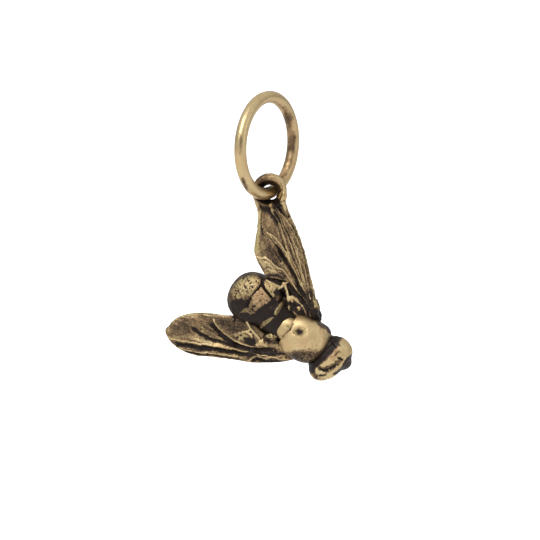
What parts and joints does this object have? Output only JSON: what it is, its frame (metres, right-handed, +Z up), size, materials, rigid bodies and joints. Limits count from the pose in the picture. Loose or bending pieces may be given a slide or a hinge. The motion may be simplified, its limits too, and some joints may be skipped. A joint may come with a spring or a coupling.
{
  "type": "fly charm",
  "caption": "Cast antique-bronze house fly with folded wings, hung head-down by a loop on its left wing tip from a closed round jump ring.",
  "frame": {"origin": "centre of the jump ring, in the middle of its wire", "axes": "+Z up as the charm hangs, +X along the jump ring's axis, +Y across the ring; the fly's back faces towards -Y and a little +X"},
  "size_m": [0.0174, 0.0124, 0.0295],
  "materials": {
    "ring_metal": "satin antique bronze wire, rubbed bright outside and darker inside",
    "loop_metal": "antique cast bronze, rubbed rims and a near-black hole",
    "bright_metal": "smooth cast bronze, hand-rubbed to pale gold with dark creases",
    "body_metal": "pitted cast bronze, warm tan high places over a brown patina",
    "veined_metal": "veined cast bronze, gold ridges over a dark brown patina"
  },
  "bodies": {
    "ring": {"jump_ring": "ring_metal"},
    "fly": {"hanging_loop": "loop_metal", "left_wing": "veined_metal", "right_wing": "veined_metal", "thorax": "bright_metal", "scutellum": "bright_metal", "head": "bright_metal", "left_eye": "bright_metal", "right_eye": "bright_metal", "waist": "veined_metal", "abdomen": "body_metal", "tail": "body_metal", "left_calypter": "veined_metal", "right_calypter": "veined_metal", "left_hind_leg": "veined_metal", "right_hind_leg": "veined_metal", "left_mid_leg": "veined_metal", "right_mid_leg": "veined_metal", "left_fore_leg": "veined_metal", "right_fore_leg": "veined_metal"}
  },
  "joints": [
    {"name": "fly_swing", "type": "hinge", "parent": "ring", "child": "fly", "pos_m": [0, 0.0005, -0.00482], "axis": [0, 1, 0], "range_deg": [-150, 150]}
  ]
}
